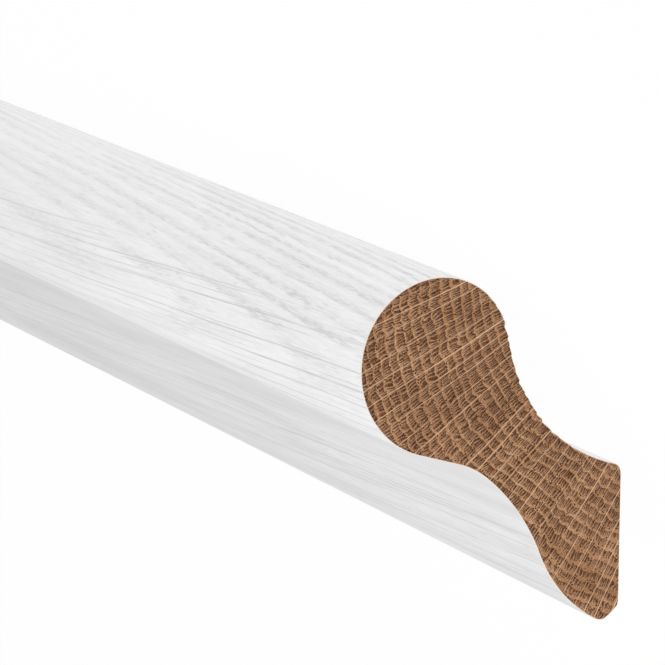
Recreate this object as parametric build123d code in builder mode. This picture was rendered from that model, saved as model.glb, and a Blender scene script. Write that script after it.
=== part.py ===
"""A straight length of moulded oak handrail with a pigs ear section, lying at rest on a level floor."""
import os
from math import acos, atan2, cos, degrees, radians, sin, tan

from build123d import *

# All sizes are in mm. The section is drawn upright, as it is fixed along a wall:
# x = 0 is the flat back against the wall, and y is the height above the lower edge.
rail_length = 2400.0
section_height = 70.0
projection = 55.8

crown_radius = 15.6
front_radius = 17.9
front_start = 173.5

ledge_height = 29.8
ledge_slope = 18.5
ledge_width = 2.4

back_corner_radius = 2.2
lower_edge_radius = 3.6

belly_radius = 29.5
belly_turn = 30.75

underside_slope = 18.6
underside_width = 9.0
throat_radius = 17.0
throat_turn = 21.5


def direction(angle):
    """Unit vector at an angle in degrees, anticlockwise from the way to the wall."""
    return Vector(cos(radians(angle)), sin(radians(angle)))


def bearing(start, end):
    """Angle in degrees of the line from one point to another."""
    way = end - start
    return degrees(atan2(way.Y, way.X))


def cove_radius(foot, outward, round_centre, round_radius):
    """Radius of the hollow arc that leaves a straight at its foot and runs into a round."""
    offset = foot - round_centre
    gap = round_radius - offset.dot(outward)
    return (offset.dot(offset) - round_radius**2) / (2 * gap)


def arc(centre, radius, first, last):
    """Arc about a centre, from one angle to another."""
    return ThreePointArc(
        centre + direction(first) * radius,
        centre + direction((first + last) / 2) * radius,
        centre + direction(last) * radius,
    )


# The bead is the round that the hand closes on: a crown, and a slightly flatter front below it.
front_lead = direction(front_start) * (crown_radius - front_radius)
crown_centre = Vector(front_radius - projection - front_lead.X, section_height - crown_radius)
front_centre = crown_centre + front_lead

# The ledge rises gently from the top of the back. The finger cove runs from it up into the bead.
ledge_normal = direction(90 - ledge_slope)
ledge_end = Vector(-ledge_width, ledge_height + ledge_width * tan(radians(ledge_slope)))
finger_cove_radius = cove_radius(ledge_end, ledge_normal, crown_centre, crown_radius)
finger_cove_centre = ledge_end + ledge_normal * finger_cove_radius
crown_end = bearing(crown_centre, finger_cove_centre)

# The top corner of the back is eased where the ledge meets it.
corner_drop = back_corner_radius * (1 - sin(radians(ledge_slope))) / cos(radians(ledge_slope))
back_corner_centre = Vector(-back_corner_radius, ledge_height - corner_drop)
ledge_start = back_corner_centre + ledge_normal * back_corner_radius
back_top = Vector(0, back_corner_centre.Y)

# The lower edge is a small round, and the belly swells forward and up from it.
lower_edge_centre = Vector(-lower_edge_radius, lower_edge_radius)
back_foot = Vector(0, lower_edge_radius)
belly_start = 270 - belly_turn
belly_centre = lower_edge_centre - direction(belly_start) * (belly_radius - lower_edge_radius)

# The underside of the bead falls back towards the wall, and the throat turns it down.
underside_normal = direction(270 - underside_slope)
underside_front = front_centre + underside_normal * front_radius
underside_back = underside_front + direction(-underside_slope) * underside_width
throat_centre = underside_back + underside_normal * throat_radius
throat_normal = direction(270 - underside_slope - throat_turn)
throat_end = throat_centre - throat_normal * throat_radius

# A wider hollow runs on from the throat into the belly.
hollow_radius = cove_radius(throat_end, throat_normal, belly_centre, belly_radius)
hollow_centre = throat_end + throat_normal * hollow_radius
hollow_start = bearing(hollow_centre, belly_centre)

# At rest the rail lies on the crown and the top corner of the back.
# One line touches both rounds there, and the section is turned until that line is the floor.
corner_way = back_corner_centre - crown_centre
lean = degrees(acos((crown_radius - back_corner_radius) / corner_way.length))
floor_normal = direction(bearing(crown_centre, back_corner_centre) + lean)
across = Vector(-floor_normal.Y, floor_normal.X)

# Heights are measured up from the floor line, and widths between the crown and the lower edge.
wall_foot_height = floor_normal.dot(crown_centre) + crown_radius
bead_side = across.dot(crown_centre) + crown_radius
edge_side = across.dot(lower_edge_centre) - lower_edge_radius
section_plane = Plane(
    origin=(-(bead_side + edge_side) / 2, 0, wall_foot_height),
    x_dir=(across.X, 0, -floor_normal.X),
    z_dir=(0, -1, 0),
)

with BuildPart() as handrail:
    with BuildSketch(section_plane):
        with BuildLine():
            arc(front_centre, front_radius, 270 - underside_slope, front_start)
            arc(crown_centre, crown_radius, front_start, crown_end)
            arc(finger_cove_centre, finger_cove_radius, crown_end + 180, 270 - ledge_slope)
            Line(ledge_end, ledge_start)
            arc(back_corner_centre, back_corner_radius, 90 - ledge_slope, 0)
            Line(back_top, back_foot)
            arc(lower_edge_centre, lower_edge_radius, 360, belly_start)
            arc(belly_centre, belly_radius, belly_start, hollow_start + 180)
            arc(hollow_centre, hollow_radius, hollow_start, 90 - underside_slope - throat_turn)
            arc(throat_centre, throat_radius, 90 - underside_slope - throat_turn, 90 - underside_slope)
            Line(underside_back, underside_front)
        make_face()
    extrude(amount=rail_length / 2, both=True)

handrail.part.label = "handrail"
os.makedirs("parts", exist_ok=True)
export_step(handrail.part, "parts/handrail.step")
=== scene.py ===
from math import acos, atan2, cos, degrees, exp, floor, radians, sin, tan

import bmesh
import bpy
from mathutils import Matrix, Vector, noise


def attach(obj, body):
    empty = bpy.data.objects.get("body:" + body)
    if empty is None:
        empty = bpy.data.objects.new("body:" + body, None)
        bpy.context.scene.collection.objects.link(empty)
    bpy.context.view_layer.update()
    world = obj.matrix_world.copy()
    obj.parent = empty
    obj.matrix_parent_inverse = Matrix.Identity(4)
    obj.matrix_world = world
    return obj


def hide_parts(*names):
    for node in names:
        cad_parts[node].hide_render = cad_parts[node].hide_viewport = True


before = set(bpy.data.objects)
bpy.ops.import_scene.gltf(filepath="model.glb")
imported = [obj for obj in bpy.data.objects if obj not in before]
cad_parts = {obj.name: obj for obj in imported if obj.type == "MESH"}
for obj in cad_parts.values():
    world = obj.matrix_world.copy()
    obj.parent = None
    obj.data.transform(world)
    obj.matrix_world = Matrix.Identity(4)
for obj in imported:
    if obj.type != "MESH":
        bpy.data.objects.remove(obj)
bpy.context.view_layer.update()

# The section in mm, drawn upright: x = 0 is the wall face, z is up, and y runs along the rail.
RAIL_LENGTH = 2400.0
SECTION_HEIGHT = 70.0
PROJECTION = 55.8
CROWN_RADIUS = 15.6
FRONT_RADIUS = 17.9
FRONT_START = 173.5
LEDGE_HEIGHT = 29.8
LEDGE_SLOPE = 18.5
LEDGE_WIDTH = 2.4
BACK_CORNER_RADIUS = 2.2
LOWER_EDGE_RADIUS = 3.6
BELLY_RADIUS = 29.5
BELLY_TURN = 30.75
UNDERSIDE_SLOPE = 18.6
UNDERSIDE_WIDTH = 9.0
THROAT_RADIUS = 17.0
THROAT_TURN = 21.5
NEAR_END = -RAIL_LENGTH / 2

MM = 0.001


def direction(angle):
    """Unit vector in the section, at an angle in degrees from the way to the wall."""
    return Vector((cos(radians(angle)), 0, sin(radians(angle))))


def bearing(start, end):
    """Angle in degrees of the line from one point of the section to another."""
    return degrees(atan2(end.z - start.z, end.x - start.x))


def cove_radius(foot, outward, round_centre, round_radius):
    """Radius of the hollow arc that leaves a straight at its foot and runs into a round."""
    offset = foot - round_centre
    return (offset.dot(offset) - round_radius**2) / (2 * (round_radius - offset.dot(outward)))


front_lead = direction(FRONT_START) * (CROWN_RADIUS - FRONT_RADIUS)
crown_centre = Vector((FRONT_RADIUS - PROJECTION - front_lead.x, 0, SECTION_HEIGHT - CROWN_RADIUS))
front_centre = crown_centre + front_lead
ledge_normal = direction(90 - LEDGE_SLOPE)
ledge_end = Vector((-LEDGE_WIDTH, 0, LEDGE_HEIGHT + LEDGE_WIDTH * tan(radians(LEDGE_SLOPE))))
finger_cove_radius = cove_radius(ledge_end, ledge_normal, crown_centre, CROWN_RADIUS)
finger_cove_centre = ledge_end + ledge_normal * finger_cove_radius
crown_end = bearing(crown_centre, finger_cove_centre)
corner_drop = BACK_CORNER_RADIUS * (1 - sin(radians(LEDGE_SLOPE))) / cos(radians(LEDGE_SLOPE))
back_corner_centre = Vector((-BACK_CORNER_RADIUS, 0, LEDGE_HEIGHT - corner_drop))
lower_edge_centre = Vector((-LOWER_EDGE_RADIUS, 0, LOWER_EDGE_RADIUS))
belly_start = 270 - BELLY_TURN
belly_centre = lower_edge_centre - direction(belly_start) * (BELLY_RADIUS - LOWER_EDGE_RADIUS)
underside_normal = direction(270 - UNDERSIDE_SLOPE)
underside_front = front_centre + underside_normal * FRONT_RADIUS
underside_back = underside_front + direction(-UNDERSIDE_SLOPE) * UNDERSIDE_WIDTH
throat_centre = underside_back + underside_normal * THROAT_RADIUS
throat_normal = direction(270 - UNDERSIDE_SLOPE - THROAT_TURN)
throat_end = throat_centre - throat_normal * THROAT_RADIUS
hollow_radius = cove_radius(throat_end, throat_normal, belly_centre, BELLY_RADIUS)
hollow_centre = throat_end + throat_normal * hollow_radius
hollow_start = bearing(hollow_centre, belly_centre)

# At rest the rail lies on the crown and the top corner of the back, so the section is turned over.
corner_way = back_corner_centre - crown_centre
lean = degrees(acos((CROWN_RADIUS - BACK_CORNER_RADIUS) / corner_way.length))
floor_bearing = bearing(crown_centre, back_corner_centre) + lean
turn = Matrix.Rotation(radians(90 + floor_bearing), 4, "Y")
bead_side = (turn @ crown_centre).x + CROWN_RADIUS
foot_height = CROWN_RADIUS - (turn @ crown_centre).z
edge_side = (turn @ lower_edge_centre).x - LOWER_EDGE_RADIUS
lay = Matrix.Translation((-(bead_side + edge_side) / 2, 0, foot_height)) @ turn
to_frame = Matrix.Scale(MM, 4) @ lay

# How finely the rail is meshed, in mm. The cross cuts are closer together near both ends.
# Faces that meet at more than SHARP_ANGLE degrees show their edge.
ARC_STEP = 0.5
STRAIGHT_STEP = 1.0
END_STATIONS = (0.8, 1.8, 3.5, 6.0, 12.0, 30.0, 60.0)
LONG_STEP = 60.0
END_GRID = 1.2
ON_STATION = 1e-3
TOUCHING = 1e-4
SHARP_ANGLE = 30.0

# Both ends have an eased arris. The piece's first material is the paint, and its second, with the
# number BARE, is the sawn oak.
ARRIS = 0.22
BARE = 1

# The near end has a torn rim behind the bead and round the finger cove. Places on the rim are
# distances round the section, from the front of the bead's underside and over the crown.
# TEAR_REACH is how far in from the end the surface is pressed in.
TORN_FROM, TORN_TO = 58.5, 98.0
TORN_FADE = 6.0
TORN_DEPTH = 0.36
TORN_LENGTH = 2.2
TEAR_REACH = 6.0

# The rim's teeth: their mean width, how unevenly they follow, how deep they cut, and finer splinters.
# Each uneven part reads its own row of the noise.
TOOTH_WIDTH = 2.5
TOOTH_SWAY, SWAY_LENGTH, SWAY_ROW = 0.8, 4.3, 0.3
TOOTH_LEVEL, LEVEL_LENGTH, LEVEL_ROW = 0.7, 3.1, 7.7
SPLINTER_LEVEL, SPLINTER_LENGTH, SPLINTER_ROW = 0.3, 0.7, 4.1

# It also has a chip off the lower edge.
CHIP_PLACE, CHIP_HALF_WIDTH = 137.0, 2.0
CHIP_DEPTH = 0.45
CHIP_LENGTH = 3.0

# The looks are baked into one square picture, and this map lays it out: both ends lie side by side in its
# lowest part.
LONG_ROWS = 4
END_FIELD = 0.2
BAKE_MARGIN = 0.006
ROW_MARGIN, ROW_SHARE, SEAM_ROOM = 0.01, 0.96, 1.01


def sweep(bm, tip, centre, first, last):
    """Carries the tip of the outline round a centre, from one angle to another."""
    radius = (tip.co - centre).length
    steps = max(3, round(abs(radians(last - first)) * radius / ARC_STEP))
    turned = bmesh.ops.spin(
        bm, geom=[tip], cent=centre, axis=(0, 1, 0), angle=radians(first - last), steps=steps
    )
    return next(item for item in turned["geom_last"] if isinstance(item, bmesh.types.BMVert))


def draw_on(bm, tip, end):
    """Carries the tip of the outline straight to a point."""
    way = end - tip.co
    steps = max(1, round(way.length / STRAIGHT_STEP))
    for _ in range(steps):
        tip = bmesh.ops.extrude_vert_indiv(bm, verts=[tip])["verts"][0]
        bmesh.ops.translate(bm, verts=[tip], vec=way / steps)
    return tip


def outline(bm):
    """Draws the closed section, stores each point's distance round it, and gives the whole way round."""
    tip = bm.verts.new(underside_front)
    tip = sweep(bm, tip, front_centre, 270 - UNDERSIDE_SLOPE, FRONT_START)
    tip = sweep(bm, tip, crown_centre, FRONT_START, crown_end)
    tip = sweep(bm, tip, finger_cove_centre, crown_end + 180, 270 - LEDGE_SLOPE)
    tip = draw_on(bm, tip, back_corner_centre + ledge_normal * BACK_CORNER_RADIUS)
    tip = sweep(bm, tip, back_corner_centre, 90 - LEDGE_SLOPE, 0)
    tip = draw_on(bm, tip, Vector((0, 0, LOWER_EDGE_RADIUS)))
    tip = sweep(bm, tip, lower_edge_centre, 360, belly_start)
    tip = sweep(bm, tip, belly_centre, belly_start, hollow_start + 180)
    tip = sweep(bm, tip, hollow_centre, hollow_start, 90 - UNDERSIDE_SLOPE - THROAT_TURN)
    tip = sweep(bm, tip, throat_centre, 90 - UNDERSIDE_SLOPE - THROAT_TURN, 90 - UNDERSIDE_SLOPE)
    draw_on(bm, tip, underside_front)
    bm.verts.ensure_lookup_table()
    round_way = bm.verts.layers.float.new("round_way")
    distance = 0.0
    for before, vert in zip(bm.verts, bm.verts[1:]):
        distance += (vert.co - before.co).length
        vert[round_way] = distance
    bmesh.ops.remove_doubles(bm, verts=bm.verts, dist=TOUCHING)
    return distance


def lies_at(edge, y):
    """Whether an edge lies across the rail at a place along it."""
    return all(abs(vert.co.y - y) < ON_STATION for vert in edge.verts)


def end_faces(bm, y, outward):
    """Closes an end, eases its arris and cuts the face into a fine grid."""
    rim = [edge for edge in bm.edges if edge.is_boundary and lies_at(edge, y)]
    face = bmesh.ops.contextual_create(bm, geom=rim)["faces"][0]
    if face.normal.y * outward < 0:
        face.normal_flip()
    arris = bmesh.ops.inset_region(
        bm, faces=[face], thickness=ARRIS, depth=ARRIS, use_even_offset=True
    )
    for part in [face, *arris["faces"]]:
        part.material_index = BARE
    cut = {face}
    spans = ((Vector((1, 0, 0)), -PROJECTION, 0), (Vector((0, 0, 1)), 0, SECTION_HEIGHT))
    for axis, low, high in spans:
        count = round((high - low) / END_GRID)
        for index in range(1, count):
            point = axis * (low + (high - low) * index / count)
            edges = {edge for part in cut for edge in part.edges}
            verts = {vert for part in cut for vert in part.verts}
            out = bmesh.ops.bisect_plane(
                bm, geom=[*cut, *edges, *verts], dist=TOUCHING, plane_co=point, plane_no=axis
            )
            cut = {item for item in out["geom"] if isinstance(item, bmesh.types.BMFace)}


def tear_depth(way, inward):
    """How much wood is gone, by the distance round the section and in from the near end."""
    # The rim tears off ray by ray: it steps in past each ray and comes back out by the next.
    sway = TOOTH_SWAY * noise.noise((way / SWAY_LENGTH, SWAY_ROW, 0.0))
    place = way / TOOTH_WIDTH + sway
    tooth = 1 - (place - floor(place))
    level = TOOTH_LEVEL + noise.noise((way / LEVEL_LENGTH, LEVEL_ROW, 0.0))
    splinter = SPLINTER_LEVEL * noise.noise((way / SPLINTER_LENGTH, SPLINTER_ROW, inward))
    ragged = max(0.0, tooth * level + splinter)
    fade = min(1.0, max(0.0, min(way - TORN_FROM, TORN_TO - way) / TORN_FADE))
    torn = TORN_DEPTH * ragged * fade * exp(-inward / TORN_LENGTH)
    chipped = max(0.0, 1 - ((way - CHIP_PLACE) / CHIP_HALF_WIDTH) ** 2)
    return torn + CHIP_DEPTH * chipped * exp(-inward / CHIP_LENGTH)


def tear_near_end(bm):
    """Presses the first stretch of the surface in where the saw tore it."""
    round_way = bm.verts.layers.float["round_way"]
    bm.normal_update()
    for vert in bm.verts:
        inward = vert.co.y - NEAR_END
        if inward < TEAR_REACH:
            vert.co -= vert.normal * tear_depth(vert[round_way], inward)


def lay_out_bake_map(bm, way_round):
    """Gives both ends and four lengths of the long faces their own fields of the baked picture."""
    round_way = bm.verts.layers.float["round_way"]
    layer = bm.loops.layers.uv.new("OFBake")
    width = (bead_side - edge_side) * MM
    row_length = RAIL_LENGTH * MM / LONG_ROWS
    for face in bm.faces:
        centre = face.calc_center_median()
        row = min(LONG_ROWS - 1, int((centre.y - NEAR_END * MM) / row_length))
        ways = [loop.vert[round_way] for loop in face.loops]
        over_seam = max(ways) - min(ways) > way_round / 2
        for loop, way in zip(face.loops, ways):
            place = loop.vert.co
            if face.material_index == BARE:
                side = 0.5 if centre.y > 0 else 0.0
                u = side + BAKE_MARGIN + (place.x / width + 0.5) * (0.5 - 2 * BAKE_MARGIN)
                v = BAKE_MARGIN + place.z / width * (0.5 - 2 * BAKE_MARGIN)
            else:
                turned = way + way_round if over_seam and way < way_round / 2 else way
                start = NEAR_END * MM + row * row_length
                up = row + ROW_MARGIN + ROW_SHARE * turned / (way_round * SEAM_ROOM)
                u = BAKE_MARGIN + (place.y - start) / row_length * (1 - 2 * BAKE_MARGIN)
                v = END_FIELD + (1 - END_FIELD) * up / LONG_ROWS
            loop[layer].uv = (u, v)


def make_rail():
    """Sweeps the section along the rail, tears the near end, closes both ends and lays the rail down."""
    bm = bmesh.new()
    way_round = outline(bm)
    near = NEAR_END + ARRIS
    far = -NEAR_END - ARRIS
    stations = [near] + [NEAR_END + step for step in END_STATIONS]
    middle_low, middle_high = stations[-1], -stations[-1]
    count = round((middle_high - middle_low) / LONG_STEP)
    stations += [middle_low + (middle_high - middle_low) * i / count for i in range(1, count + 1)]
    stations += [-NEAR_END - step for step in reversed(END_STATIONS[:-1])] + [far]
    bmesh.ops.translate(bm, verts=bm.verts, vec=(0, stations[0], 0))
    edges = list(bm.edges)
    for before, after in zip(stations, stations[1:]):
        drawn = bmesh.ops.extrude_edge_only(bm, edges=edges)["geom"]
        moved = [item for item in drawn if isinstance(item, bmesh.types.BMVert)]
        bmesh.ops.translate(bm, verts=moved, vec=(0, after - before, 0))
        drawn_edges = [item for item in drawn if isinstance(item, bmesh.types.BMEdge)]
        edges = [edge for edge in drawn_edges if lies_at(edge, after)]
    bmesh.ops.recalc_face_normals(bm, faces=bm.faces)
    tear_near_end(bm)
    end_faces(bm, near, -1)
    end_faces(bm, far, 1)
    bmesh.ops.transform(bm, matrix=to_frame, verts=bm.verts)
    bmesh.ops.recalc_face_normals(bm, faces=bm.faces)
    lay_out_bake_map(bm, way_round)
    for face in bm.faces:
        face.smooth = True
    mesh = bpy.data.meshes.new("handrail_piece")
    bm.to_mesh(mesh)
    bm.free()
    rail = bpy.data.objects.new("handrail_piece", mesh)
    bpy.context.collection.objects.link(rail)
    mesh.set_sharp_from_angle(angle=radians(SHARP_ANGLE))
    return rail


def linear(code):
    """Turns an sRGB hex colour linear."""
    parts = [int(code[i : i + 2], 16) / 255 for i in (1, 3, 5)]
    return tuple(p / 12.92 if p <= 0.04045 else ((p + 0.055) / 1.055) ** 2.4 for p in parts) + (1.0,)


def add(tree, kind, links=(), **settings):
    """Adds a shader node with its settings, and fills its inputs, in order or by name.

    An input takes a value, a socket or a node, and a node stands for its first output.
    """
    new = tree.nodes.new("ShaderNode" + kind)
    for name, value in settings.items():
        setattr(new, name, value)
    if not isinstance(links, dict):
        links = dict(enumerate(links))
    for name, value in links.items():
        if isinstance(value, bpy.types.Node):
            value = value.outputs[0]
        if isinstance(value, bpy.types.NodeSocket):
            tree.links.new(value, new.inputs[name])
        else:
            new.inputs[name].default_value = value
    return new


# A Map Range node takes a value, the stretch that it is read over and the stretch that it is carried
# to. SMOOTH eases both ends.
SMOOTH = {"interpolation_type": "SMOOTHSTEP"}
# A one-way Voronoi node draws unevenly spaced lines, whose mean spacing is 1.
UNEVEN = {"Scale": 1.0, "Randomness": 0.9}
TO_LINE = {"voronoi_dimensions": "1D", "feature": "DISTANCE_TO_EDGE"}

# The wood is one solid block of pattern, so that the grain under the paint meets the sawn end.
# Its pith lay outside the section, up towards the wall, and the grain drifts a little across the rail.
# Everything here is in mm, but the leans' bearings are in degrees.
PITH = Vector((45.0, NEAR_END, 95.0))
GRAIN_DRIFT = Vector((0.052, 1.0, -0.032))
MEAN_RADIUS = 95.0
RAY_GAP = 2.9
RAY_SWAY = 1.8
# Oak's narrow rays and the saw's nap are really about 0.1 mm apart, too fine to show, so they are
# drawn coarser.
FINE_RAY_GAP = 1.05
NAP_GAP = 0.54
RING_WIDTH = 2.05
# The rings aren't quite round: between two bearings from the wood to the pith they draw in or out.
RING_LEANS = ((5.0, 34.0, -6.0), (34.0, 50.0, 2.3), (49.0, 57.0, -0.7))
# They also swell over centimetres, crumble at their edge, bow between two rays and step at each ray.
RING_SWELL = 2.8
RING_CRUMB = 0.42
RING_BOW = 0.5
RING_STEP = 0.28
PORE_GAP = 0.5
PORE_LENGTH = 6.0

# The tan late wood, as shares of a ring: where it starts, how much sooner it starts near the lower
# edge, how long it takes to be full, and where it ends.
BAND_START = (0.48, 0.67)
LOW_BAND_LEAD = 0.12
BAND_RISE = 0.22
BAND_END = 0.955
# Heights in mm over which the wood near the lower edge gives way to the rest.
LOW_HEIGHTS = (6.0, 30.0)

# The paint's figure and its painted shade change over these stretches of height in the upright
# section and of way from the near end, in mm.
LOWER_EDGE_HEIGHTS = (4.0, 16.0)
SMOOTHER_HEIGHTS = (16.0, 30.0)
THROAT_HEIGHTS = (19.0, 25.0)
LOW_BEAD_HEIGHTS = (38.0, 44.0)
NEAR_BEAD_HEIGHTS = (38.0, 47.0)
BAND_HEIGHTS = (46.0, 60.0)
CROWN_HEIGHTS = (56.0, 64.0)
NEAR_BEAD_REACH = (NEAR_END + 50.0, NEAR_END + 120.0)
BOLD_REACH = (NEAR_END + 60.0, NEAR_END + 165.0)


def noise_at(tree, place, across, along, outward, detail=1.0):
    """Noise with a size in mm each way of the grain: round the pith, along the rail and outward."""
    sizes = (1 / across, 1 / along, 1 / outward)
    scaled = add(tree, "VectorMath", (place, sizes), operation="MULTIPLY")
    settings = {"Vector": scaled, "Scale": 1.0, "Detail": detail, "Roughness": 0.5}
    return add(tree, "TexNoise", settings, noise_dimensions="3D")


def carried_by(matrix, scale=1.0):
    """What a Mapping node needs to scale a place and then carry it by a matrix."""
    return {"Scale": (scale, scale, scale), "Rotation": matrix.to_euler(), "Location": matrix.translation}


def way_from(tree, upright, centre):
    """Distance in the section from a centre."""
    way = add(tree, "VectorMath", (upright, centre), operation="SUBTRACT")
    way = add(tree, "VectorMath", (way, (1, 0, 1)), operation="MULTIPLY")
    return add(tree, "VectorMath", (way,), operation="LENGTH").outputs["Value"]


def oak_grain(tree):
    """Rings, rays and pores of oak about the pith, shared by the bare end and the painted faces."""
    on_piece = add(tree, "TexCoord").outputs["Object"]
    upright = add(tree, "Mapping", {"Vector": on_piece} | carried_by(lay.inverted(), 1 / MM))
    along_y = GRAIN_DRIFT.rotation_difference(Vector((0, 1, 0))).to_matrix().to_4x4()
    to_pith = carried_by(along_y @ Matrix.Translation(-PITH))
    from_pith = add(tree, "Mapping", {"Vector": upright} | to_pith)
    x, y, z = add(tree, "SeparateXYZ", (from_pith,)).outputs
    flat = add(tree, "CombineXYZ", {"X": x, "Z": z})
    radius = add(tree, "VectorMath", (flat,), operation="LENGTH").outputs["Value"]
    angle = add(tree, "Math", (z, x), operation="ARCTAN2")
    around = add(tree, "Math", (angle, MEAN_RADIUS), operation="MULTIPLY")
    opening = add(tree, "Math", (radius, MEAN_RADIUS), operation="DIVIDE")
    place = add(tree, "CombineXYZ", (around, y, radius))

    # Broad rays run out from the pith, a little wavy, with finer ones between them.
    wander = noise_at(tree, place, 14.0, 90.0, 24.0)
    swayed = add(tree, "Math", (wander, RAY_SWAY, around), operation="MULTIPLY_ADD")
    ray_place = add(tree, "Math", (swayed, RAY_GAP), operation="DIVIDE")
    to_ray = add(tree, "TexVoronoi", {"W": ray_place} | UNEVEN, **TO_LINE)
    cell = add(tree, "TexVoronoi", {"W": ray_place} | UNEVEN, voronoi_dimensions="1D", feature="F1")
    chance = add(tree, "SeparateColor", (cell.outputs["Color"],)).outputs
    ray_distance = add(tree, "Math", (to_ray, RAY_GAP), operation="MULTIPLY")
    ray_distance = add(tree, "Math", (ray_distance, opening), operation="MULTIPLY")
    ray_width = noise_at(tree, place, 2.4, 150.0, 90.0, detail=0.0)
    ray_width = add(tree, "MapRange", (ray_width, 0.4, 0.66, 0.75, 1.5), **SMOOTH)
    wide_ray_distance = add(tree, "Math", (ray_distance, ray_width), operation="DIVIDE")
    fine_place = add(tree, "Math", (swayed, FINE_RAY_GAP), operation="DIVIDE")
    to_fine = add(tree, "TexVoronoi", {"W": fine_place} | UNEVEN, **TO_LINE)
    fine_distance = add(tree, "Math", (to_fine, FINE_RAY_GAP), operation="MULTIPLY")
    fine_distance = add(tree, "Math", (fine_distance, opening), operation="MULTIPLY")

    # The rings' own form comes first. The bows and steps between the rays show on the bare end alone.
    swell = noise_at(tree, place, 18.0, 160.0, 7.0)
    crumb = noise_at(tree, place, 0.35, 4.0, 0.35)
    ring_place = radius
    for first, last, depth in RING_LEANS:
        bearings = (radians(first - 180), radians(last - 180))
        leant = add(tree, "MapRange", (angle, *bearings, 0.0, depth), **SMOOTH)
        ring_place = add(tree, "Math", (ring_place, leant), operation="ADD")
    ring_place = add(tree, "Math", (swell, RING_SWELL, ring_place), operation="MULTIPLY_ADD")
    ring_place = add(tree, "Math", (crumb, RING_CRUMB, ring_place), operation="MULTIPLY_ADD")
    even_turn = add(tree, "Math", (ring_place, RING_WIDTH), operation="DIVIDE")
    even_phase = add(tree, "Math", (even_turn,), operation="FRACT")

    bow_depth = noise_at(tree, place, 5.0, 90.0, 9.0, detail=0.0)
    bow_depth = add(tree, "MapRange", (bow_depth, 0.35, 0.65, 0.0, -RING_BOW), **SMOOTH)
    bow = add(tree, "MapRange", (to_ray, 0.0, 0.45), **SMOOTH)
    ring_place = add(tree, "Math", (bow, bow_depth, ring_place), operation="MULTIPLY_ADD")
    ring_place = add(tree, "Math", (chance[0], RING_STEP, ring_place), operation="MULTIPLY_ADD")
    ring_turn = add(tree, "Math", (ring_place, RING_WIDTH), operation="DIVIDE")
    ring_number = add(tree, "Math", (ring_turn,), operation="FLOOR")
    phase = add(tree, "Math", (ring_turn,), operation="FRACT")

    # Each ring has its own late wood between two rays, and it starts sooner near the lower edge.
    chance_place = add(tree, "CombineXYZ", (ring_number, chance[1]))
    patch = add(tree, "TexWhiteNoise", {"Vector": chance_place}, noise_dimensions="3D")
    start = add(tree, "MapRange", (patch, 0.0, 1.0, *BAND_START))
    height = add(tree, "SeparateXYZ", (upright,)).outputs["Z"]
    low = add(tree, "MapRange", (height, *LOW_HEIGHTS, 1.0, 0.0), **SMOOTH)
    start = add(tree, "Math", (low, -LOW_BAND_LEAD, start), operation="MULTIPLY_ADD")
    rise = add(tree, "Math", (phase, start), operation="SUBTRACT")
    rise = add(tree, "Math", (rise, BAND_RISE), operation="DIVIDE", use_clamp=True)
    fall = add(tree, "MapRange", (phase, BAND_END, 1.0, 1.0, 0.0), **SMOOTH)
    band = add(tree, "Math", (rise, fall), operation="MULTIPLY")

    # Pores are short tubes along the grain: dots on the end, dashes on the long faces.
    pore_sizes = (1 / PORE_GAP, 1 / PORE_LENGTH, 1 / PORE_GAP)
    pore_place = add(tree, "VectorMath", (place, pore_sizes), operation="MULTIPLY")
    tube = {"Vector": pore_place, "Scale": 1.0, "Randomness": 1.0}
    pore = add(tree, "TexVoronoi", tube, voronoi_dimensions="3D", feature="F1")
    return {
        "upright": upright,
        "low": low,
        "place": place,
        "around": around,
        "ray_distance": ray_distance,
        "wide_ray_distance": wide_ray_distance,
        "fine_distance": fine_distance,
        "phase": phase,
        "even_phase": even_phase,
        "patch": patch,
        "band": band,
        "pore_distance": pore.outputs["Distance"],
        "pore_chance": add(tree, "SeparateColor", (pore.outputs["Color"],)),
    }


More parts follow.
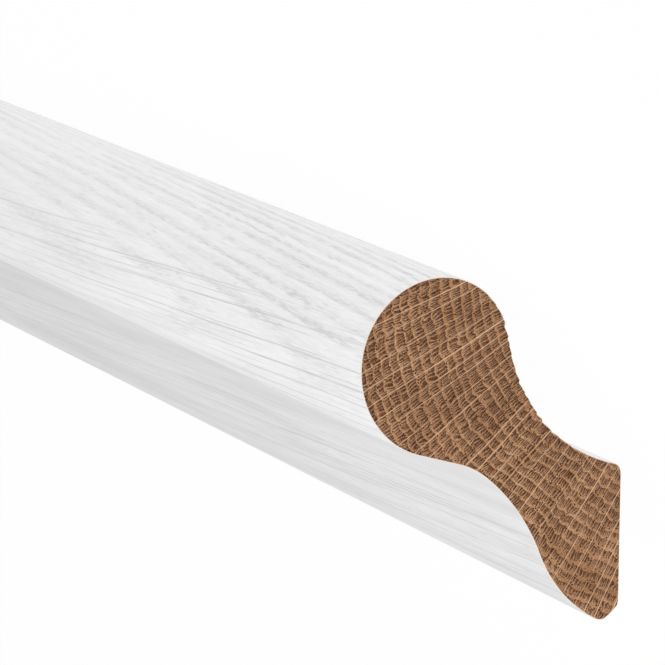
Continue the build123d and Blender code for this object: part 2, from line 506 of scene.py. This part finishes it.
def sawn_oak():
    """Oak end grain as a fine saw leaves it: tan rings, pale rays, dark late wood with a radial nap."""
    mat = bpy.data.materials.new("sawn_oak_end_grain")
    mat.use_nodes = True
    tree = mat.node_tree
    shader = tree.nodes["Principled BSDF"]
    shader.inputs["Roughness"].default_value = 0.75
    shader.inputs["IOR"].default_value = 1.5
    # Cut fibres stand on end and swallow most of the gloss.
    shader.inputs["Specular IOR Level"].default_value = 0.15
    grain = oak_grain(tree)
    place = grain["place"]
    band = grain["band"]

    # The nap is a comb of fine pale lines beside the rays, which fills up towards the next tan band.
    lean_way = noise_at(tree, place, 3.0, 20.0, 4.0)
    comb_place = add(tree, "Math", (grain["around"], NAP_GAP), operation="DIVIDE")
    comb_place = add(tree, "Math", (lean_way, 4.0, comb_place), operation="MULTIPLY_ADD")
    comb_place = add(tree, "Math", (grain["patch"], 0.5, comb_place), operation="MULTIPLY_ADD")
    comb = add(tree, "TexVoronoi", {"W": comb_place} | UNEVEN, **TO_LINE)
    comb = add(tree, "MapRange", (comb, 0.06, 0.3, 1.0, 0.0), **SMOOTH)
    comb_level = noise_at(tree, place, 0.6, 6.0, 3.2)
    comb_level = add(tree, "MapRange", (comb_level, 0.3, 0.56, 0.35, 1.0), **SMOOTH)
    comb = add(tree, "Math", (comb, comb_level), operation="MULTIPLY")
    filling = add(tree, "MapRange", (grain["phase"], 0.0, 0.45, 0.34, 0.5), **SMOOTH)
    comb = add(tree, "Math", (comb, filling), operation="MULTIPLY")

    # A tone of 0 is the darkest brown and 1 the palest. Dark and tan wood both vary in fine flecks.
    dark = add(tree, "MapRange", (grain["phase"], 0.0, 0.5, 0.14, 0.26), **SMOOTH)
    dark = add(tree, "Math", (grain["low"], 0.08, dark), operation="MULTIPLY_ADD")
    tone = add(tree, "Math", (dark, comb), operation="ADD")
    bright = add(tree, "MapRange", (grain["patch"], 0.0, 1.0, 0.6, 0.71))
    tone = add(tree, "Mix", {0: band, 2: tone, 3: bright})
    fleck_depth = add(tree, "Math", (band, -0.06, 0.21), operation="MULTIPLY_ADD")
    fleck = noise_at(tree, place, 0.2, 3.0, 0.28, detail=2.0)
    fleck = add(tree, "MapRange", (fleck, 0.34, 0.66, -1.0, 1.0), **SMOOTH)
    tone = add(tree, "Math", (fleck, fleck_depth, tone), operation="MULTIPLY_ADD")
    cloud = noise_at(tree, place, 9.0, 60.0, 8.0)
    cloud = add(tree, "MapRange", (cloud, 0.3, 0.7, -0.07, 0.07), **SMOOTH)
    tone = add(tree, "Math", (tone, cloud), operation="ADD")

    # Pores are dark dots, more of them in the tan bands.
    pore_limit = add(tree, "Math", (band, -0.28, 0.9), operation="MULTIPLY_ADD")
    chosen = add(tree, "Math", (grain["pore_chance"], pore_limit), operation="GREATER_THAN")
    pore = add(tree, "MapRange", (grain["pore_distance"], 0.29, 0.42, 1.0, 0.0), **SMOOTH)
    pore = add(tree, "Math", (chosen, pore), operation="MULTIPLY")
    tone = add(tree, "Mix", {0: pore, 2: tone, 3: -0.1})

    # Rays are pale lines, here and there with darker wood beside them.
    beside = add(tree, "MapRange", (grain["wide_ray_distance"], 0.1, 0.36, 1.0, 0.0), **SMOOTH)
    beside_level = noise_at(tree, place, 1.2, 40.0, 5.0)
    beside_level = add(tree, "MapRange", (beside_level, 0.4, 0.65), **SMOOTH)
    beside = add(tree, "Math", (beside, beside_level), operation="MULTIPLY")
    tone = add(tree, "Math", (beside, -0.13, tone), operation="MULTIPLY_ADD")
    ray = add(tree, "MapRange", (grain["wide_ray_distance"], 0.045, 0.125, 1.0, 0.0), **SMOOTH)
    ray_level = noise_at(tree, place, 2.0, 60.0, 26.0, detail=2.0)
    ray_level = add(tree, "MapRange", (ray_level, 0.34, 0.54, 0.45, 1.0), **SMOOTH)
    ray = add(tree, "Math", (ray, ray_level), operation="MULTIPLY")
    fine = add(tree, "MapRange", (grain["fine_distance"], 0.03, 0.12, 1.0, 0.0), **SMOOTH)
    fine_level = noise_at(tree, place, 0.9, 30.0, 5.0, detail=0.0)
    fine_level = add(tree, "MapRange", (fine_level, 0.54, 0.7, 0.0, 0.6), **SMOOTH)
    fine = add(tree, "Math", (fine, fine_level), operation="MULTIPLY")
    ray = add(tree, "Math", (ray, fine), operation="MAXIMUM")
    tone = add(tree, "Mix", {0: ray, 2: tone, 3: 0.97})

    colours = add(tree, "ValToRGB", (tone,))
    ramp = colours.color_ramp
    ramp.elements.remove(ramp.elements[1])
    ramp.elements[0].position = 0.0
    ramp.elements[0].color = linear("#43240f")
    for position, code in (
        (0.15, "#5a3820"),
        (0.3, "#71492e"),
        (0.45, "#8c6244"),
        (0.6, "#a87b57"),
        (0.75, "#bc8f69"),
        (1.0, "#e6bd98"),
    ):
        ramp.elements.new(position).color = linear(code)

    # The nap's hairs are greyer than the smooth tan bands.
    dark_wood = add(tree, "Math", (1.0, band), operation="SUBTRACT")
    hairs = add(tree, "Math", (comb, dark_wood), operation="MULTIPLY")
    hair_mix = {0: hairs, 6: colours, 7: linear("#a08672")}
    wood = add(tree, "Mix", hair_mix, data_type="RGBA").outputs[2]

    # Paint wraps over the arris and thins out to a warm, pale line before the bare wood.
    end_way = add(tree, "SeparateXYZ", (grain["upright"],)).outputs["Y"]
    end_way = add(tree, "Math", (end_way,), operation="ABSOLUTE")
    depth = add(tree, "Math", (RAIL_LENGTH / 2, end_way), operation="SUBTRACT")
    rim = add(tree, "MapRange", (depth, 0.05 * ARRIS, 0.5 * ARRIS), **SMOOTH)
    colour = add(tree, "Mix", {0: rim, 6: wood, 7: linear("#f3e9df")}, data_type="RGBA").outputs[2]
    tree.links.new(colour, shader.inputs["Base Color"])
    relief = add(tree, "Math", (tone, 0.05), operation="MULTIPLY")
    bump = add(tree, "Bump", {"Height": relief, "Strength": 0.5, "Distance": MM})
    tree.links.new(bump.outputs[0], shader.inputs["Normal"])
    return mat


def white_paint():
    """White satin paint, a film so fine that the oak's open pores and rays still show as fine grey lines.
    """
    mat = bpy.data.materials.new("white_paint_on_open_grain")
    mat.use_nodes = True
    tree = mat.node_tree
    shader = tree.nodes["Principled BSDF"]
    shader.inputs["Roughness"].default_value = 0.5
    shader.inputs["IOR"].default_value = 1.5
    grain = oak_grain(tree)
    place = grain["place"]
    upright = grain["upright"]
    _, along, height = add(tree, "SeparateXYZ", (upright,)).outputs

    # Away from the bead the film is smoother, most of all in the hollow.
    crown_way = way_from(tree, upright, crown_centre)
    away = add(tree, "MapRange", (crown_way, FRONT_RADIUS + 0.6, FRONT_RADIUS + 4), **SMOOTH)
    on_bead = add(tree, "Math", (1.0, away), operation="SUBTRACT")
    smoother = add(tree, "MapRange", (height, *SMOOTHER_HEIGHTS, 0.42, 0.96), **SMOOTH)
    calming = add(tree, "Math", (away, smoother), operation="MULTIPLY")

    # The figure is boldest over the first few centimetres. Past them an even grey takes some of its place.
    bold = add(tree, "MapRange", (along, *BOLD_REACH, 1.0, 0.68), **SMOOTH)
    faded = add(tree, "Math", (1.0, bold), operation="SUBTRACT")
    calm = add(tree, "Math", (1.0, calming), operation="SUBTRACT")
    calm = add(tree, "Math", (calm, bold), operation="MULTIPLY")

    # In front the paint is also darkened as painted shade: below the bead and most of all in the
    # throat, low on the bead and there more near the end, and round the lower edge.
    throat = add(tree, "MapRange", (height, *THROAT_HEIGHTS, 0.07, 0.115), **SMOOTH)
    painted_shade_and_grey = add(tree, "Math", (away, throat), operation="MULTIPLY")
    low_bead = add(tree, "MapRange", (height, *LOW_BEAD_HEIGHTS, 1.0, 0.0), **SMOOTH)
    painted_shade_and_grey = add(tree, "Math", (low_bead, 0.05, painted_shade_and_grey), operation="MULTIPLY_ADD")
    near_level = add(tree, "MapRange", (along, *NEAR_BEAD_REACH, 0.05, 0.0), **SMOOTH)
    near_bead = add(tree, "MapRange", (height, *NEAR_BEAD_HEIGHTS, 1.0, 0.0), **SMOOTH)
    near_bead = add(tree, "Math", (near_bead, near_level), operation="MULTIPLY")
    painted_shade_and_grey = add(tree, "Math", (on_bead, near_bead, painted_shade_and_grey), operation="MULTIPLY_ADD")
    lower_edge = add(tree, "MapRange", (height, *LOWER_EDGE_HEIGHTS, 1.0, 0.0), **SMOOTH)
    painted_shade_and_grey = add(tree, "Math", (lower_edge, 0.03, painted_shade_and_grey), operation="MULTIPLY_ADD")
    cove_way = way_from(tree, upright, finger_cove_centre)
    front = add(tree, "MapRange", (cove_way, finger_cove_radius + 3, finger_cove_radius + 9), **SMOOTH)
    painted_shade_and_grey = add(tree, "Math", (painted_shade_and_grey, front), operation="MULTIPLY")
    # The even grey that takes the faded figure's place is added to the painted shade.
    painted_shade_and_grey = add(tree, "Math", (faded, 0.075, painted_shade_and_grey), operation="MULTIPLY_ADD")

    # The film sinks over the porous early wood: soft grey bands with rows of fine dashes.
    band = add(tree, "MapRange", (grain["even_phase"], 0.2, 0.75), **SMOOTH)
    band_fall = add(tree, "MapRange", (grain["even_phase"], 0.78, 1.0, 1.0, 0.0), **SMOOTH)
    band_height = add(tree, "MapRange", (height, *BAND_HEIGHTS, 0.45, 1.0), **SMOOTH)
    row_level = noise_at(tree, place, 3.4, 52.0, 2.8, detail=2.0)
    row_level = add(tree, "MapRange", (row_level, 0.34, 0.62, 0.4, 1.0), **SMOOTH)
    row = band
    for level in (band_fall, band_height, row_level, calm):
        row = add(tree, "Math", (row, level), operation="MULTIPLY")
    pore = add(tree, "MapRange", (grain["pore_distance"], 0.16, 0.4, 1.0, 0.0), **SMOOTH)
    pore_limit = add(tree, "Math", (row, -0.65, 0.93), operation="MULTIPLY_ADD")
    chosen = add(tree, "Math", (grain["pore_chance"], pore_limit), operation="GREATER_THAN")
    dash = add(tree, "Math", (pore, chosen), operation="MULTIPLY")
    dash = add(tree, "Math", (dash, 0.8), operation="MULTIPLY")
    small_dash = noise_at(tree, place, 0.16, 5.0, 0.16)
    small_dash = add(tree, "MapRange", (small_dash, 0.47, 0.64), **SMOOTH)
    small_dash = add(tree, "Math", (small_dash, row), operation="MULTIPLY")
    dash = add(tree, "Math", (dash, small_dash), operation="MAXIMUM")

    # Rays open as long thin lines, but not on the crown, where the cut runs along them.
    line = add(tree, "MapRange", (grain["ray_distance"], 0.04, 0.16, 1.0, 0.0), **SMOOTH)
    line_level = noise_at(tree, place, 1.2, 45.0, 6.0, detail=0.0)
    line_level = add(tree, "MapRange", (line_level, 0.3, 0.52, 0.5, 1.0), **SMOOTH)
    line = add(tree, "Math", (line, line_level), operation="MULTIPLY")
    fine = add(tree, "MapRange", (grain["fine_distance"], 0.025, 0.11, 1.0, 0.0), **SMOOTH)
    fine_level = noise_at(tree, place, 0.8, 40.0, 4.0, detail=0.0)
    fine_level = add(tree, "MapRange", (fine_level, 0.42, 0.58, 0.0, 0.85), **SMOOTH)
    fine = add(tree, "Math", (fine, fine_level), operation="MULTIPLY")
    line = add(tree, "Math", (line, fine), operation="MAXIMUM")
    below_crown = add(tree, "MapRange", (height, *CROWN_HEIGHTS, 1.0, 0.0), **SMOOTH)
    line = add(tree, "Math", (line, below_crown), operation="MULTIPLY")

    # Dashes and lines are shallow hollows in the film, and darken it.
    dash = add(tree, "Math", (dash, 0.165), operation="MULTIPLY")
    line = add(tree, "Math", (line, 0.235), operation="MULTIPLY")
    hollow = add(tree, "Math", (dash, line), operation="MAXIMUM")
    hollow = add(tree, "Math", (hollow, calm), operation="MULTIPLY")
    shade = add(tree, "Math", (row, 0.055, hollow), operation="MULTIPLY_ADD")

    # Over all of it lie fine streaks along the grain, brush marks and soft clouds.
    streak_depth = add(tree, "Math", (calming, -0.035, 0.065), operation="MULTIPLY_ADD")
    streak_depth = add(tree, "Math", (streak_depth, bold), operation="MULTIPLY")
    brush_depth = add(tree, "Math", (calming, -0.02, 0.04), operation="MULTIPLY_ADD")
    brush_depth = add(tree, "Math", (brush_depth, bold), operation="MULTIPLY")
    # Deeper clouds away from the bead also darken the hollow on average: partly random tone, partly
    # painted shade.
    cloud_depth = add(tree, "Math", (away, 0.035, 0.04), operation="MULTIPLY_ADD")
    streak = noise_at(tree, place, 0.34, 40.0, 0.34, detail=3.0)
    brush = noise_at(tree, place, 0.25, 9.0, 0.25)
    cloud = noise_at(tree, place, 3.0, 70.0, 3.0, detail=2.0)
    for figure, depth in ((streak, streak_depth), (brush, brush_depth), (cloud, cloud_depth)):
        figure = add(tree, "MapRange", (figure, 0.3, 0.7), **SMOOTH)
        shade = add(tree, "Math", (figure, depth, shade), operation="MULTIPLY_ADD")
    # The painted shade in front and the even grey darken the paint.
    shade = add(tree, "Math", (shade, painted_shade_and_grey), operation="ADD")
    shades = {0: shade, 6: linear("#fafafa"), 7: linear("#3a3a3a")}
    colour = add(tree, "Mix", shades, data_type="RGBA").outputs[2]
    tree.links.new(colour, shader.inputs["Base Color"])
    relief = add(tree, "Math", (hollow, -0.6), operation="MULTIPLY")
    bump = add(tree, "Bump", {"Height": relief, "Strength": 0.6, "Distance": MM})
    tree.links.new(bump.outputs[0], shader.inputs["Normal"])
    return mat


piece = make_rail()
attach(piece, "root")
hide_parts("handrail")
piece.data.materials.append(white_paint())
piece.data.materials.append(sawn_oak())

# The floor is a softly lit white table. Camera rays see more of its glow, so the rail's shadow stays
# faint. Sizes are in metres.
FLOOR_SIZE = 12.0
TABLE_GLOW = 0.6
SEEN_GLOW = 0.96

# Soft white light all round, and a weak low lamp on the side of the bead.
# A small soft panel hangs over the near end, on the side away from the bead. Angles are in degrees.
SKY_STRENGTH = 0.8
SIDE_LAMP = 0.33
SIDE_LAMP_HEIGHT = 3.0
SIDE_LAMP_FORWARD = 30.0
SIDE_LAMP_WIDTH = 20.0
PANEL_WATTS = 0.125
PANEL_HEIGHT = 95.0
PANEL_DISTANCE = 0.25
PANEL_FORWARD = 0.03
PANEL_SIZE = 0.2


def seen_level(tree, lighting, seen):
    """One level for the rays that light the rail, and another for those that show the background."""
    path = add(tree, "LightPath").outputs
    rays = (path["Is Camera Ray"], path["Is Glossy Ray"])
    showing = add(tree, "Math", rays, operation="MAXIMUM")
    showing = add(tree, "Math", (showing, path["Is Transmission Ray"]), operation="MAXIMUM")
    return add(tree, "MapRange", {"Value": showing, "To Min": lighting, "To Max": seen})


def make_floor():
    """A flat matt white table that glows softly."""
    bm = bmesh.new()
    bmesh.ops.create_grid(bm, x_segments=1, y_segments=1, size=FLOOR_SIZE / 2)
    mesh = bpy.data.meshes.new("floor")
    bm.to_mesh(mesh)
    bm.free()
    table = bpy.data.objects.new("floor", mesh)
    bpy.context.collection.objects.link(table)
    mat = bpy.data.materials.new("matt_white_backdrop")
    mat.use_nodes = True
    tree = mat.node_tree
    tree.nodes.clear()
    diffuse = add(tree, "BsdfDiffuse", {"Color": linear("#fafafa")})
    glow = add(tree, "Emission", {"Color": linear("#ffffff"), "Strength": 1.0})
    share = seen_level(tree, TABLE_GLOW, SEEN_GLOW)
    mix = add(tree, "MixShader", (share, diffuse, glow))
    add(tree, "OutputMaterial", {"Surface": mix})
    mesh.materials.append(mat)
    return table


make_floor()

world = bpy.data.worlds.new("soft_daylight")
world.use_nodes = True
world.node_tree.nodes.clear()
sky_level = seen_level(world.node_tree, SKY_STRENGTH, 1.0)
sky = add(world.node_tree, "Background", {"Color": linear("#ffffff"), "Strength": sky_level})
add(world.node_tree, "OutputWorld", {"Surface": sky})
bpy.context.scene.world = world


def hang_lamp(name, kind, way, place, **settings):
    """Hangs a lamp that shines back along the way it lies in."""
    data = bpy.data.lights.new(name, kind)
    for setting, value in settings.items():
        setattr(data, setting, value)
    lamp = bpy.data.objects.new(name, data)
    lamp.location = place
    lamp.rotation_euler = way.to_track_quat("Z", "Y").to_euler()
    bpy.context.collection.objects.link(lamp)


def lamp_way(height, forward):
    """The way to a lamp, from its angle up from the bead's side and its angle towards the camera."""
    up, near = radians(height), radians(forward)
    return Vector((cos(near) * cos(up), -sin(near), cos(near) * sin(up)))


side_way = lamp_way(SIDE_LAMP_HEIGHT, SIDE_LAMP_FORWARD)
hang_lamp("side_lamp", "SUN", side_way, side_way, energy=SIDE_LAMP, angle=radians(SIDE_LAMP_WIDTH))
panel_way = lamp_way(PANEL_HEIGHT, 0.0) * PANEL_DISTANCE
panel_place = panel_way + Vector((0, NEAR_END * MM - PANEL_FORWARD, 0))
hang_lamp("near_panel", "AREA", panel_way, panel_place, energy=PANEL_WATTS, size=PANEL_SIZE)

# The camera, placed from the near lower back corner of the upright section. Angles are in degrees,
# the corner's place in the view is in mm, and the camera's own values are in its usual units.
VIEW_YAW = 28.751
VIEW_PITCH = 13.706
VIEW_ROLL = 0.147
CORNER_IN_VIEW = Vector((53.9, -53.63, 746.52))
FOCAL_PIXELS = 3961.2
PHOTO_PIXELS = 665
SENSOR_WIDTH = 36.0
CLIP_START, CLIP_END = 0.05, 50.0

yaw, pitch, roll = radians(VIEW_YAW), radians(VIEW_PITCH), radians(VIEW_ROLL)
ahead = Vector((sin(yaw) * cos(pitch), cos(yaw) * cos(pitch), -sin(pitch)))
level = Vector((cos(yaw), -sin(yaw), 0))
upward = level.cross(ahead)
right = level * cos(roll) + upward * sin(roll)
upward = upward * cos(roll) - level * sin(roll)
corner = Vector((0, NEAR_END, 0))
eye = corner - right * CORNER_IN_VIEW.x - upward * CORNER_IN_VIEW.y - ahead * CORNER_IN_VIEW.z
view = Matrix.Translation(eye) @ Matrix((right, upward, -ahead)).transposed().to_4x4()
camera_data = bpy.data.cameras.new("photo_camera")
camera_data.sensor_width = SENSOR_WIDTH
camera_data.lens = SENSOR_WIDTH * FOCAL_PIXELS / PHOTO_PIXELS
camera_data.clip_start = CLIP_START
camera_data.clip_end = CLIP_END
camera = bpy.data.objects.new("photo_camera", camera_data)
placed = lay @ view
placed.translation = placed.translation * MM
camera.matrix_world = placed
bpy.context.collection.objects.link(camera)
bpy.context.scene.camera = camera
bpy.context.scene.view_settings.view_transform = "Standard"
